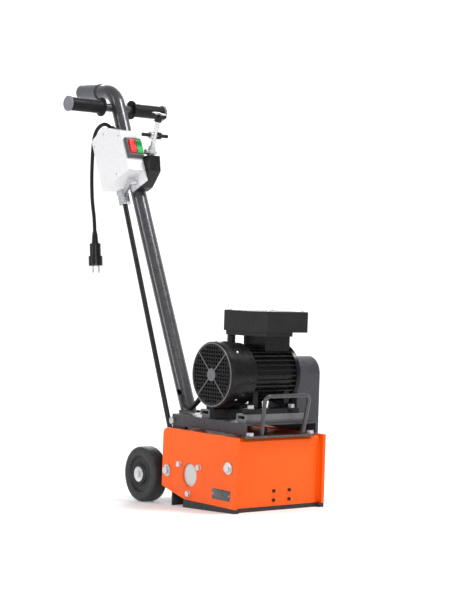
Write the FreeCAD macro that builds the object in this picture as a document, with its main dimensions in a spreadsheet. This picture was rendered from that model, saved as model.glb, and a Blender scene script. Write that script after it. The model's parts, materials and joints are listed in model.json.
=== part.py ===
import FreeCAD, Part
import Sketcher
import math
import os
import re

# A walk-behind floor scarifier: a drum of star cutters under a welded frame, a motor on
# top that drives it by a belt, two lift wheels behind and a single tube mast with grips.
#
# Everything is drawn in the level machine frame: x across, y to the rear, z up, with x = 0
# halfway between the side plates, y = 0 a little ahead of the drum and z = 0 on the floor
# below the front edge. The stance then tips the machine nose-down about that front edge,
# as it stands with its wheels let down, and moves the origin under the middle of it.

Vector = FreeCAD.Vector
Rotation = FreeCAD.Rotation
Placement = FreeCAD.Placement

doc = FreeCAD.newDocument("floor_scarifier")
sheet = doc.addObject("Spreadsheet::Sheet", "Sizes")

CELLS = {
    # stance
    "pitch": 2.95,
    "origin_x": 9.5,
    "origin_y": 282.2,
    # frame
    "half_width": 137.5,
    "plate": 8,
    "front_edge": -140,
    "rear_edge": 149.3,
    "plate_bottom": 9.7,
    "plate_top": 175.4,
    "plate_corner": 15,
    "chamfer_start": 55.9,
    "chamfer_rise": 22.4,
    "front_face": -126,
    "front_sheet": 5,
    "deck_top": 170,
    "deck_sheet": 6,
    "deck_rear": 145,
    "rear_sheet_front": 112,
    "rear_sheet": 3,
    "port_x": 68,
    "port_z": 128,
    "port_bore": 25,
    "port_wall": 3,
    "port_end": 188,
    # drum
    "drum_y": 37.8,
    "drum_z": 70,
    "bearing_hole": 28.5,
    "bearing_outer": 26,
    "bearing_wide": 15,
    "drum_shaft": 12.5,
    "running_gap": 0.05,
    "housing_pitch": 45,
    "disc_radius": 58,
    "disc_thick": 10,
    "drum_half": 107.5,
    "cutter_pitch": 46,
    "cutter_pin": 7,
    "cutter_tip": 26,
    "cutter_root": 19,
    "cutter_bore": 8,
    "cutter_wide": 8,
    "hex_half": 15,
    # wheel carrier
    "pivot_y": 127.3,
    "pivot_z": 71.8,
    "pivot_shaft": 10,
    "tie_y": -114.1,
    "tie_z": 103.2,
    "tie_shaft": 6.5,
    "wheel_y": 236.9,
    "wheel_z": 49.36,
    "wheel_radius": 68.66,
    "wheel_outer": 138,
    "wheel_wide": 35,
    "axle": 8,
    "arm_inner": 88,
    "arm_thick": 10,
    "rod_x": -45,
    "rod_pin_y": 228,
    "rod_pin_z": 110,
    # motor
    "motor_y": -21.5,
    "motor_z": 315,
    "cowl_end": -125.5,
    "cowl_start": -88,
    "cowl_radius": 79.8,
    "cowl_sheet": 2,
    "casing_radius": 64,
    "casing_bore": 58,
    "fin_radius": 72,
    "fin_thick": 3,
    "casing_start": -45,
    "casing_end": 78,
    "shield_end": 104,
    "foot_bottom": 226,
    "foot_spread": 70,
    "foot_front_x": -60,
    "foot_rear_x": 65,
    "motor_shaft": 12,
    "motor_plate_left": -95,
    "motor_plate_right": 126,
    "motor_plate_top": 205,
    "motor_plate_front": -119,
    "motor_plate_rear": 172,
    "flange_bottom": 177.5,
    "hinge_y": 167,
    "hinge_z": 188.5,
    "rail_bottom": 211.5,
    "flange_sheet": 4,
    # belt drive
    "guard_inner": 107,
    "guard_step": 139,
    "guard_outer": 178,
    "guard_sheet": 3,
    "guard_top_radius": 43,
    "guard_low_radius": 52,
    "guard_front_y": -39.5,
    "guard_front_z": 45,
    "guard_front_radius": 25,
    "guard_floor": 209.5,
    "pulley_radius": 32,
    "belt_thick": 5,
    "belt_left": 151,
    "belt_wide": 20,
    # terminal box
    "box_left": -39,
    "box_right": 115,
    "box_front": -86,
    "box_rear": 48,
    "box_base": 408,
    "box_lid": 418,
    "box_top": 468,
    "neck_bottom": 372,
    # mast
    "mast_y": 254.6,
    "mast_z": 253.8,
    "mast_lean": 24.5,
    "mast_radius": 20,
    "mast_wall": 3,
    "mast_foot": -90,
    "mast_corner": 865.7,
    "mast_bend": 65,
    "sleeve_rise": 3.0,
    "sleeve_start": 67.4,
    "sleeve_long": 101.5,
    "sleeve_radius": 22,
    "bar_along": 820,
    "bar_ahead": -11,
    "bar_radius": 11,
    "grip_radius": 18,
    "grip_flange": 25.5,
    # controls, along and ahead of the mast's line
    "case_near": -74,
    "case_far": -25,
    "case_low": 586,
    "case_front_top": 699.5,
    "case_peak": 745,
    "case_rear_top": 735,
    "case_front": 79,
    "case_peak_ahead": 8,
    "case_rear": -54,
    "case_wall": 3,
    "rocker_along": 572,
    "rocker_ahead": 35,
    "rocker_shaft": 6,
    "clevis_along": 558,
    "clevis_ahead": -8,
    "block_y": 432,
    "block_z": 874,
    "screw_lean": 18.3,
    "screw_radius": 6,
    "screw_top": 78,
    # cord
    "cord_radius": 5,
}


def fill_sheet():
    """Writes each driving dimension and its alias."""
    for row, (alias, value) in enumerate(CELLS.items(), start=1):
        sheet.set("A%d" % row, alias)
        sheet.set("B%d" % row, str(value))
        sheet.setAlias("B%d" % row, alias)
    doc.recompute()


def cell(alias):
    """The number in a cell."""
    return float(getattr(sheet, alias))


def formula(text):
    """An expression with every alias spelled as a cell of the sheet."""
    def spell(word):
        return "Sizes." + word.group() if word.group() in CELLS else word.group()
    return re.sub(r"[a-z][a-z_]+", spell, text)


def bind(thing, **properties):
    """Sets sizes: a string is bound as a formula of cells, a number is set."""
    for name, value in properties.items():
        if isinstance(value, str):
            thing.setExpression(name, formula(value))
        else:
            setattr(thing, name, value)


def spot(thing, place, turn=None):
    """Puts a primitive at a place whose coordinates may be formulas."""
    thing.Placement = Placement(Vector(0, 0, 0), turn or Rotation())
    for letter, value in zip("xyz", place):
        text = formula(value) if isinstance(value, str) else str(value)
        thing.setExpression("Placement.Base." + letter, text)


TURNS = {
    "x": Rotation(Vector(0, 1, 0), 90),
    "y": Rotation(Vector(1, 0, 0), -90),
    "z": Rotation(),
}


def box(place, size, turn=None):
    """A block from its low corner and its size."""
    block = doc.addObject("Part::Box", "block")
    bind(block, Length=size[0], Width=size[1], Height=size[2])
    spot(block, place, turn)
    return block


def rod(axis, radius, length, place):
    """A cylinder from the middle of one end, along x, y or z."""
    bar = doc.addObject("Part::Cylinder", "bar")
    bind(bar, Radius=radius, Height=length)
    spot(bar, place, TURNS[axis])
    return bar


def hexagon(axis, corner, length, place):
    """A hexagonal bar, such as a bolt head, from the middle of one end."""
    prism = doc.addObject("Part::Prism", "hexagon")
    prism.Polygon = 6
    bind(prism, Circumradius=corner, Height=length)
    spot(prism, place, TURNS[axis])
    return prism


def fuse(pieces):
    """One solid from several that touch."""
    if len(pieces) == 1:
        return pieces[0]
    union = doc.addObject("Part::MultiFuse", "union")
    union.Shapes = pieces
    return union


def cut(base, tools):
    """A piece with several others taken away."""
    difference = doc.addObject("Part::Cut", "difference")
    difference.Base = base
    difference.Tool = fuse(tools)
    return difference


def shaped(shape):
    """A piece whose shape is made with Part's own functions."""
    feature = doc.addObject("Part::Feature", "shaped")
    feature.Shape = shape
    return feature


def outline(body, plane, points, offset):
    """A closed outline on one of a body's own planes, each corner bound to the sheet."""
    sketch = body.newObject("Sketcher::SketchObject", "outline")
    for feature in body.Origin.OriginFeatures:
        if feature.Role == plane:
            sketch.AttachmentSupport = [(feature, "")]
    sketch.MapMode = "FlatFace"
    sketch.setExpression("AttachmentOffset.Base.z", formula(str(offset)))
    corners = len(points)
    for index in range(corners):
        here = 2 * math.pi * index / corners
        after = 2 * math.pi * (index + 1) / corners
        first = Vector(100 * math.cos(here), 100 * math.sin(here), 0)
        second = Vector(100 * math.cos(after), 100 * math.sin(after), 0)
        sketch.addGeometry(Part.LineSegment(first, second), False)
    for index in range(corners):
        sketch.addConstraint(Sketcher.Constraint("Coincident", index, 2, (index + 1) % corners, 1))
    for index, point in enumerate(points):
        for kind, value in zip(("DistanceX", "DistanceY"), point):
            name = "%s_%d" % (kind, index)
            number = sketch.addConstraint(Sketcher.Constraint(kind, index, 1, 1.0))
            sketch.renameConstraint(number, name)
            sketch.setExpression("Constraints." + name, formula(str(value)))
    return sketch


def profile(plane, points, thick, offset=0):
    """A body with one outline padded along its plane's normal: +x on YZ, -y on XZ, +z on XY."""
    body = doc.addObject("PartDesign::Body", "body")
    pad = body.newObject("PartDesign::Pad", "pad")
    pad.Profile = outline(body, plane, points, offset)
    bind(pad, Length=thick)
    return body


def turned(points, middle):
    """A body turned about a line along x, from an outline of (along, radius) points."""
    body = doc.addObject("PartDesign::Body", "turned")
    revolution = body.newObject("PartDesign::Revolution", "revolution")
    sketch = outline(body, "XZ_Plane", points, 0)
    revolution.Profile = sketch
    revolution.ReferenceAxis = (sketch, ["H_Axis"])
    revolution.Angle = 360
    moved = doc.addObject("Part::Compound", "turned_place")
    moved.Links = [body]
    spot(moved, middle)
    return moved


PARTS = []


def part(label, pieces, stands="machine"):
    """One named sub-part, tipped with the machine or standing level on the floor."""
    whole = doc.addObject("Part::Compound", label)
    whole.Label = label
    whole.Links = pieces
    whole.Placement = STANCE if stands == "machine" else SHIFT
    PARTS.append(whole)
    return whole


fill_sheet()

SHIFT = Placement(Vector(-cell("origin_x"), -cell("origin_y"), 0), Rotation())
FRONT_EDGE = Vector(0, cell("front_edge"), 0)
TIP = Placement(Vector(0, 0, 0), Rotation(Vector(1, 0, 0), cell("pitch")), FRONT_EDGE)
STANCE = SHIFT * TIP
FLOOR_SLOPE = math.tan(math.radians(cell("pitch")))

# The mast's line: a place on it is so far along it and so far ahead of it.
LEAN = math.radians(cell("mast_lean"))
ALONG = Vector(0, math.sin(LEAN), math.cos(LEAN))
AHEAD = Vector(0, -math.cos(LEAN), math.sin(LEAN))
MAST_BASE = Vector(0, cell("mast_y"), cell("mast_z"))

# The lift screw's line, from its trunnion block up to the star knob.
SCREW_FOOT = Vector(0, cell("block_y"), cell("block_z"))
SCREW_LEAN = math.radians(cell("screw_lean"))
SCREW_AXIS = Vector(0, -math.sin(SCREW_LEAN), math.cos(SCREW_LEAN))


def on_mast(across, along, ahead):
    """A place given across, along and ahead of the mast's line."""
    return MAST_BASE + Vector(across, 0, 0) + ALONG * along + AHEAD * ahead


def mast_prism(points, near, far):
    """A prism across the machine, its outline given as (along, ahead) of the mast."""
    corners = [on_mast(near, along, ahead) for along, ahead in points]
    face = Part.Face(Part.makePolygon(corners + corners[:1]))
    return face.extrude(Vector(far - near, 0, 0))


def bent_tube(points, radius, bends, hollow=0):
    """A tube along straight runs joined by tangent arcs, one radius for each inner corner."""
    edges = []
    last = points[0]
    for index in range(1, len(points) - 1):
        corner = points[index]
        before = (points[index - 1] - corner).normalize()
        after = (points[index + 1] - corner).normalize()
        turn = math.pi - before.getAngle(after)
        bend = bends[index - 1]
        reach = bend * math.tan(turn / 2)
        start = corner + before * reach
        end = corner + after * reach
        inward = (before + after).normalize()
        middle = corner + inward * (bend / math.cos(turn / 2) - bend)
        edges.append(Part.LineSegment(last, start).toShape())
        edges.append(Part.Arc(start, middle, end).toShape())
        last = end
    edges.append(Part.LineSegment(last, points[-1]).toShape())
    path = Part.Wire(edges)
    heading = points[1] - points[0]
    ring = Part.Wire([Part.Circle(points[0], heading, radius).toShape()])
    tube = path.makePipeShell([ring], True, True)
    if hollow:
        inner = Part.Wire([Part.Circle(points[0], heading, hollow).toShape()])
        tube = tube.cut(path.makePipeShell([inner], True, True))
    return tube


def loose_bends(points):
    """The largest arc that each corner of a loose route has room for."""
    bends = []
    for before, here, after in zip(points, points[1:], points[2:]):
        incoming = here - before
        outgoing = after - here
        half = incoming.getAngle(outgoing) / 2
        bends.append(0.45 * min(incoming.Length, outgoing.Length) / math.tan(half))
    return bends


# ---- frame ----

def side_plate(label, inner_face):
    """A side plate: chamfered at its lower rear, with the drum bearing hole and bolt holes."""
    top = "plate_top"
    points = [
        ("front_edge", "plate_bottom"),
        ("chamfer_start", "plate_bottom"),
        ("rear_edge", "plate_bottom + chamfer_rise"),
        ("rear_edge", top + " - plate_corner"),
        ("rear_edge - 0.293 * plate_corner", top + " - 0.293 * plate_corner"),
        ("rear_edge - plate_corner", top),
        ("front_edge", top),
    ]
    plate = profile("YZ_Plane", points, "plate", inner_face)
    start = inner_face
    holes = [rod("x", "bearing_hole", "plate", (start, "drum_y", "drum_z"))]
    holes.append(rod("x", "pivot_shaft", "plate", (start, "pivot_y", "pivot_z")))
    holes.append(rod("x", "tie_shaft", "plate", (start, "tie_y", "tie_z")))
    for angle in (30, 150, 270):
        y, z = around("drum_y", "drum_z", "housing_pitch", angle)
        holes.append(rod("x", 4, "plate", (start, y, z)))
    part(label, [cut(plate, holes)])


def around(y, z, radius, angle):
    """Formulas for a place on a circle in the machine's side view."""
    return "%s + %s * cos(%s deg)" % (y, radius, angle), "%s + %s * sin(%s deg)" % (z, radius, angle)


def frame_sheets():
    """The front sheet with its folded lip, the deck, and the rear sheet with its dust port."""
    wide = "2 * half_width - 2 * plate"
    left = "plate - half_width"
    lip = [
        ("front_face", "plate_bottom"),
        ("front_face + front_sheet", "plate_bottom"),
        ("front_face + front_sheet", 160),
        ("front_face + front_sheet + 9", 168.5),
        ("front_face + 8", 172.5),
        ("front_face", 164.5),
    ]
    part("front_plate", [profile("YZ_Plane", lip, wide, left)])
    deck = box((left, -112, "deck_top - deck_sheet"), (wide, "deck_rear + 112", "deck_sheet"))
    lugs = [box((x, 124, "deck_top - 4"), (8, 52, 31)) for x in (-90.5, 113.5)]
    bore = [rod("x", 4, 260, (-130, "hinge_y", "hinge_z"))]
    part("deck_plate", [cut(fuse([deck] + lugs), bore)])
    back = box((left, "rear_sheet_front", 24), (wide, "rear_sheet", "deck_top - deck_sheet - 24"))
    hole = rod("y", "port_bore", 10, ("port_x", 108, "port_z"))
    part("rear_plate", [cut(back, [hole])])
    start = "rear_sheet_front + rear_sheet"
    long = "port_end - (" + start + ")"
    pipe = rod("y", "port_bore + port_wall", long, ("port_x", start, "port_z"))
    flange = box(("port_x - 34", start, "port_z - 34"), (68, 4, 68))
    bore = rod("y", "port_bore", 90, ("port_x", 110, "port_z"))
    part("dust_port", [cut(fuse([pipe, flange]), [bore])])


def dust_skirt():
    """A rubber edge round the drum chamber that follows the floor under the tipped frame."""
    def floor(y):
        return "(front_edge - (%s)) * %.6f" % (y, FLOOR_SLOPE)
    inner_band = [
        ("front_edge + 20", 9.5), (60, 9.5), (60, 16), ("front_edge + 20", 16)]
    lip = [
        ("front_edge", floor("front_edge")), (60, floor(60)), (60, 9.5), ("front_edge", 9.5)]
    sides = []
    for band, edge in ((-129.3, -137), (124.3, 124.3)):
        sides.append(profile("YZ_Plane", inner_band, 5, band))
        sides.append(profile("YZ_Plane", lip, 12.7, edge))
    front = [(-126, floor(-126)), (-115, floor(-115)), (-115, 9.5), (-126, 9.5)]
    sides.append(profile("YZ_Plane", front, 252, -126))
    rear = [(115.2, floor(115.2)), (119.2, floor(119.2)), (119.2, 50), (115.2, 50)]
    rear_strip = profile("YZ_Plane", rear, 256, -128)
    part("dust_skirt", [fuse(sides), rear_strip])


def cross_shafts():
    """The front tie bar and the rear shaft that the wheel carrier swings on."""
    front = rod("x", "tie_shaft", "2 * half_width", ("-half_width", "tie_y", "tie_z"))
    rear = rod("x", "pivot_shaft", "2 * half_width", ("-half_width", "pivot_y", "pivot_z"))
    part("cross_shafts", [front, rear])


def frame_bolts():
    """The large washers and hex heads that clamp the cross shafts."""
    bolts = []
    for y, z in (("pivot_y", "pivot_z"), ("tie_y", "tie_z")):
        for washer, head in (("-half_width - 2.5", "-half_width - 9"), ("half_width", "half_width + 2")):
            bolts.append(fuse([
                rod("x", 14.5, 2.5, (washer, y, z)),
                hexagon("x", 10, 7, (head, y, z))]))
    part("frame_bolts", bolts)


def bearing_housings():
    """A flanged housing inside each side plate; the right one is closed by its cap."""
    right = [
        (-131.5, 0.0), (-131.5, 28.2), (-129.5, 28.2), (-129.5, 52), (-122, 52), (-122, 34),
        (-113, 34), (-113, "bearing_outer"), (-128.6, "bearing_outer"), (-128.6, 0.0)]
    left = [
        (131.5, 18), (131.5, 28.2), (129.5, 28.2), (129.5, 52), (122, 52), (122, 34),
        (113, 34), (113, "bearing_outer"), (128.6, "bearing_outer"), (128.6, 18)]
    middle = (0, "drum_y", "drum_z")
    part("bearing_housings", [turned(right, middle), turned(left, middle)])
    rings = []
    for start in (-128.5, 113.5):
        ring = rod("x", "bearing_outer", "bearing_wide", (start, "drum_y", "drum_z"))
        bore = rod("x", "drum_shaft + running_gap", "bearing_wide", (start, "drum_y", "drum_z"))
        rings.append(cut(ring, [bore]))
    part("drum_bearings", rings)


def hex_bolts():
    """The zinc-plated hexagon bolts and nuts of the housings, motor feet, hinge, handle and deck."""
    bolts = []
    for angle in (30, 150, 270):
        y, z = around("drum_y", "drum_z", "housing_pitch", angle)
        bolts.append(fuse([
            rod("x", 8, 1.6, ("-half_width - 1.6", y, z)),
            hexagon("x", 7.5, 5.5, ("-half_width - 7", y, z)),
            rod("x", 3.9, 8, ("-half_width - 1", y, z))]))
    for x in ("foot_front_x", "foot_rear_x"):
        for y in ("motor_y - foot_spread", "motor_y + foot_spread"):
            bolts.append(fuse([
                rod("z", 9, 1.6, (x, y, "foot_bottom + 12")),
                hexagon("z", 8.5, 7, (x, y, "foot_bottom + 13.5"))]))
    for x in ("motor_plate_left - 7", "motor_plate_right"):
        bolts.append(hexagon("x", 9.5, 7, (x, "hinge_y", "hinge_z")))
    for x in (-90, 95):
        bolts.append(hexagon("z", 9.5, 8, (x, -129, 178)))
    for x in (-112, 112):
        bolts.append(hexagon("z", 7.5, 5.5, (x, 64, "deck_top")))
    part("hex_bolts", bolts)


# ---- motor ----

def motor_plate():
    """The folded channel that carries the motor, hinged at its rear to set the belt."""
    wide = "motor_plate_right - motor_plate_left"
    deep = "motor_plate_rear - motor_plate_front"
    start = ("motor_plate_left", "motor_plate_front", "flange_bottom")
    block = box(start, (wide, deep, "motor_plate_top - flange_bottom"))
    hollow = box(
        ("motor_plate_left + flange_sheet", "motor_plate_front - 1", "flange_bottom - 1"),
        (wide + " - 2 * flange_sheet", deep + " + 2", "motor_plate_top - flange_bottom - flange_sheet + 1"))
    bore = rod("x", 4.5, 260, (-130, "hinge_y", "hinge_z"))
    part("motor_plate", [cut(block, [hollow, bore])])
    rails = []
    for y in ("motor_y - foot_spread", "motor_y + foot_spread"):
        packer = box((-86, y + " - 15", "motor_plate_top"), (178, 30, "rail_bottom - motor_plate_top"))
        rail = box((-88, y + " - 18", "rail_bottom"), (180, 36, "foot_bottom - rail_bottom"))
        channel = box((-90, y + " - 13", "rail_bottom + 3.5"), (190, 26, 7))
        rails.append(fuse([cut(rail, [channel]), packer]))
    part("motor_rails", rails)


def spoke(x, inner, size, angle):
    """A blade that stands out from the motor's axis, turned about it."""
    blade = box(("%s" % x, "0 - %s / 2" % size[1], inner), size)
    wheel = doc.addObject("Part::Compound", "spoke")
    wheel.Links = [blade]
    spot(wheel, (0, "motor_y", "motor_z"), Rotation(Vector(1, 0, 0), angle))
    return wheel


def motor_casing():
    """The finned casing with its two rows of feet and the neck under the terminal box."""
    start = ("casing_start", "motor_y", "motor_z")
    long = "casing_end - casing_start"
    core = rod("x", "casing_radius", long, start)
    fins = []
    for angle in range(-60, 241, 10):
        size = (long, "fin_thick", "fin_radius - casing_bore - 2")
        fins.append(spoke("casing_start", "casing_bore + 2", size, angle - 90))
    feet = []
    for side in (-1, 1):
        foot_y = "motor_y + %d * foot_spread - 16" % side
        feet.append(box((-72, foot_y, "foot_bottom"), (149, 32, 12)))
        for x in (-44, 52):
            web = box((x, "motor_y + %d * 50 - 9" % side, "foot_bottom"), (14, 18, 52))
            feet.append(web)
    neck = box((2, -64, "neck_bottom"), (76, 84, "box_base - neck_bottom"))
    bore = rod("x", "casing_bore", 200, (-100, "motor_y", "motor_z"))
    part("motor_casing", [cut(fuse([core] + fins + feet + [neck]), [bore])])


def motor_ends():
    """The two end shields, each with a bearing bore, and the stator between them."""
    drive = [
        ("casing_end", "casing_bore - 3"), ("casing_end", 74), ("casing_end + 9", 76),
        ("casing_end + 9", 70), ("casing_end + 16", 62), ("shield_end", 52),
        ("shield_end", "motor_shaft + running_gap"), ("shield_end - 14", "motor_shaft + running_gap"),
        ("shield_end - 14", 50)]
    rear = [
        ("casing_start", "casing_bore - 3"), ("casing_start", 73), ("casing_start - 3", 76),
        ("cowl_start", 76), ("cowl_start", "cowl_radius - cowl_sheet"),
        ("cowl_start - 4", "cowl_radius - cowl_sheet"), ("cowl_start - 4", 70),
        ("casing_start - 36", 70), ("casing_start - 38", "motor_shaft + running_gap"),
        ("casing_start - 27", "motor_shaft + running_gap"), ("casing_start - 27", "casing_bore - 3")]
    middle = (0, "motor_y", "motor_z")
    part("end_shields", [turned(rear, middle), turned(drive, middle)])
    stator = rod("x", "casing_bore", 96, (-44, "motor_y", "motor_z"))
    bore = rod("x", 36, 96, (-44, "motor_y", "motor_z"))
    part("stator", [cut(stator, [bore])])


def fan_cowl():
    """The pressed cowl over the fan: a shallow cup with a grille of square holes."""
    rim = "cowl_radius"
    cup = [
        ("cowl_end", 0.0), ("cowl_end", rim + " - 6"), ("cowl_end + 1.8", rim + " - 1.8"),
        ("cowl_end + 6", rim), ("cowl_start", rim), ("cowl_start", rim + " - cowl_sheet"),
        ("cowl_end + 6", rim + " - cowl_sheet"), ("cowl_end + 3", rim + " - 5"),
        ("cowl_end + cowl_sheet", rim + " - 8"), ("cowl_end + cowl_sheet", 0.0)]
    holes = []
    pitch = 9.0
    for row in range(-7, 8):
        for column in range(-7, 8):
            distance = math.hypot(row, column) * pitch
            if 20 < distance < 67:
                y = "motor_y + %s" % (row * pitch - 3.2)
                z = "motor_z + %s" % (column * pitch - 3.2)
                holes.append(box(("cowl_end - 1", y, z), (4, 6.4, 6.4)))
    part("fan_cowl", [cut(turned(cup, (0, "motor_y", "motor_z")), holes)])


def motor_rotor():
    """The rotor and its shaft, the cooling fan and the small pulley."""
    middle = (0, "motor_y", "motor_z")
    shaft = [
        (-118, 0.0), (-118, 8), (-84, 8), (-84, "motor_shaft"), (-40, "motor_shaft"), (-40, 35.2),
        (48, 35.2), (48, "motor_shaft"), (173, "motor_shaft"), (173, 0.0)]
    part("rotor", [turned(shaft, middle)])
    hub = cut(rod("x", 16, 22, (-116, "motor_y", "motor_z")), [rod("x", 8, 30, (-120, "motor_y", "motor_z"))])
    disc_bore = rod("x", 8, 30, (-120, "motor_y", "motor_z"))
    disc = cut(rod("x", 62, 2.5, (-95, "motor_y", "motor_z")), [disc_bore])
    blades = []
    for number in range(8):
        blades.append(spoke(-114, 14, (20, 2.5, 46), 45 * number))
    part("cooling_fan", [fuse([hub, disc] + blades)])
    part("motor_pulley", [belt_pulley("motor_y", "motor_z", "motor_shaft")])


def belt_pulley(y, z, bore):
    """A flanged pulley for the flat ribbed belt."""
    middle = (0, y, z)
    start = "belt_left - 4"
    end = "belt_left + belt_wide"
    return turned([
        (start, bore), (start, "pulley_radius + 4"), (start + " + 3.5", "pulley_radius + 4"),
        (start + " + 3.5", "pulley_radius"), (end + " + 0.4", "pulley_radius"),
        (end + " + 0.4", bore)], middle)


def terminal_box():
    """The large switch-and-capacitor box: a base tray and a deep cover, one corner cut off."""
    tray = [
        ("box_left + 4", "box_front + 26"), ("box_left + 28", "box_front + 4"),
        ("box_right - 44", "box_front + 4"), ("box_right - 44", "box_rear - 4"),
        ("box_left + 4", "box_rear - 4")]
    base = profile("XY_Plane", tray, "box_lid - box_base", "box_base")
    gland = rod("z", 10, 24, (-24, 36, "box_base - 24"))
    inlet = rod("z", 6.5, 24, (-24, 36, "box_base - 24"))
    part("terminal_base", [cut(fuse([base, gland]), [inlet])])
    outline_points = [
        ("box_left", "box_front + 24"), ("box_left + 26", "box_front"), ("box_right", "box_front"),
        ("box_right", "box_rear"), ("box_left", "box_rear")]
    cover = profile("XY_Plane", outline_points, "box_top - box_lid", "box_lid")
    hollow = box(("box_left + 26", "box_front + 4", "box_lid"), (124, 126, "box_top - box_lid - 3"))
    part("terminal_cover", [cut(cover, [hollow])])


def motor_cable():
    """The held cable from the terminal box down behind the motor to the mast's foot."""
    points = [
        Vector(-24, 36, 404), Vector(-26, 37, 372), Vector(-44, 68, 346), Vector(-62, 82, 300),
        Vector(-62, 98, 250), Vector(-56, 150, 216), Vector(-46, 196, 222), Vector(-24, 228, 240)]
    part("motor_cable", [shaped(bent_tube(points, 6.4, loose_bends(points)))])


# ---- belt drive ----

def two_circle_outline(start, thick, low_circle, top_circle):
    """A rounded outline drawn round two circles, each (y, z, radius), padded across."""
    low, high = (Vector(start, *circle[:2]) for circle in (low_circle, top_circle))
    low_radius, top_radius = low_circle[2], top_circle[2]
    line = high - low
    tilt = math.acos((low_radius - top_radius) / line.Length)
    heading = math.atan2(line.z, line.y)
    edge = []
    for centre, radius in ((low, low_radius), (high, top_radius)):
        for side in (1, -1):
            angle = heading + side * tilt
            edge.append(centre + Vector(0, math.cos(angle), math.sin(angle)) * radius)
    low_left, low_right, high_left, high_right = edge
    low_bottom = low - line.normalize() * low_radius
    high_top = high + line * top_radius
    wire = Part.Wire([
        Part.LineSegment(low_left, high_left).toShape(),
        Part.Arc(high_left, high_top, high_right).toShape(),
        Part.LineSegment(high_right, low_right).toShape(),
        Part.Arc(low_right, low_bottom, low_left).toShape()])
    return Part.Face(wire).extrude(Vector(thick, 0, 0))


def guard_outline(start, thick, shrink):
    """The guard's outline: round the motor shaft, the drum shaft and a lower front corner."""
    motor = (cell("motor_y"), cell("motor_z"), cell("guard_top_radius") - shrink)
    low = (cell("drum_y"), cell("drum_z"), cell("guard_low_radius") - shrink)
    corner = (cell("guard_front_y"), cell("guard_front_z"), cell("guard_front_radius") - shrink)
    middles = [Vector(start, *circle[:2]) for circle in (motor, low, corner)]
    middle = Part.Face(Part.makePolygon(middles + middles[:1])).extrude(Vector(thick, 0, 0))
    pairs = ((low, motor), (corner, motor), (low, corner))
    sides = [two_circle_outline(start, thick, *pair) for pair in pairs]
    return middle.fuse(sides).removeSplitter()


def belt_guard():
    """The guard outside the left plate, deeper above the frame where it meets the motor."""
    inner, step, outer = cell("guard_inner"), cell("guard_step"), cell("guard_outer")
    wall = cell("guard_sheet")
    shell = guard_outline(step, outer - step, 0)
    deep = guard_outline(inner, step - inner, 0)
    above = Part.makeBox(80, 300, 300, Vector(inner - 20, -160, cell("guard_floor")))
    hollow = guard_outline(step - 1, outer - step + 1 - wall, wall)
    room = guard_outline(inner + wall, step - inner, wall)
    room = room.common(Part.makeBox(80, 300, 300, Vector(inner, -160, cell("guard_floor") + wall)))
    back = guard_outline(step, wall, 0.5)
    back = back.common(Part.makeBox(80, 300, 250, Vector(inner, -160, cell("guard_floor") + wall - 250)))
    shaft_hole = Part.makeCylinder(
        20, 60, Vector(inner - 20, cell("motor_y"), cell("motor_z")), Vector(1, 0, 0))
    drum_hole = Part.makeCylinder(
        20, 30, Vector(step - 10, cell("drum_y"), cell("drum_z")), Vector(1, 0, 0))
    guard = shell.fuse(deep.common(above)).cut(hollow).cut(room).fuse(back)
    part("belt_guard", [shaped(guard.cut(shaft_hole).cut(drum_hole).removeSplitter())])


def drive_belt():
    """The closed belt round both pulleys."""
    radius = cell("pulley_radius") + 0.3
    wide = cell("belt_wide") - 1
    start = cell("belt_left") + 0.5
    thick = cell("belt_thick")
    outside, inside = (
        two_circle_outline(
            start, wide, (cell("drum_y"), cell("drum_z"), loop), (cell("motor_y"), cell("motor_z"), loop))
        for loop in (radius + thick, radius))
    part("drive_belt", [shaped(outside.cut(inside))])


# ---- drum ----

def drum():
    """The hexagonal drum shaft, three discs, four cutter pins and their star cutters."""
    middle = ("drum_y", "drum_z")
    ends = fuse([
        rod("x", "drum_shaft", 300, (-128, *middle)),
        hexagon("x", "hex_half / cos(30 deg)", 222, (-111, *middle))])
    part("drum_shaft", [ends])
    start = "-drum_half"
    discs = []
    for x in (start, "-disc_thick / 2", "drum_half - disc_thick"):
        disc = rod("x", "disc_radius", "disc_thick", (x, *middle))
        holes = [hexagon("x", "hex_half / cos(30 deg)", "disc_thick", (x, *middle))]
        for angle in (45, 135, 225, 315):
            y, z = around("drum_y", "drum_z", "cutter_pitch", angle)
            holes.append(rod("x", "cutter_pin", "disc_thick", (x, y, z)))
        discs.append(cut(disc, holes))
    part("drum_discs", discs)
    pins = []
    cutters = []
    for angle in (45, 135, 225, 315):
        y, z = around("drum_y", "drum_z", "cutter_pitch", angle)
        pins.append(rod("x", "cutter_pin", "2 * drum_half", (start, y, z)))
        for side in (-1, 1):
            for number in range(4):
                x = side * (20 + 22 * number) - 4
                cutters.append(star_cutter(x, y, z, angle + 9 * number))
    part("cutter_pins", pins)
    part("star_cutters", cutters)
    part("drum_pulley", [belt_pulley("drum_y", "drum_z", "drum_shaft")])


def star_cutter(x, y, z, angle):
    """A loose star wheel with eight carbide points, bored larger than its pin."""
    points = []
    for tooth in range(8):
        tooth_corners = (
            (-0.11, "cutter_root"), (-0.03, "cutter_tip"), (0.03, "cutter_tip"), (0.11, "cutter_root"))
        for share, radius in tooth_corners:
            turn = 360 * (tooth / 8 + share / 2) + angle
            points.append((
                "%s * cos(%.2f deg)" % (radius, turn), "%s * sin(%.2f deg)" % (radius, turn)))
    star = profile("YZ_Plane", points, "cutter_wide")
    star = cut(star, [rod("x", "cutter_bore", "cutter_wide", (0, 0, 0))])
    spot(star, (x, y, z))
    return star


# ---- wheels and their carrier ----

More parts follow.
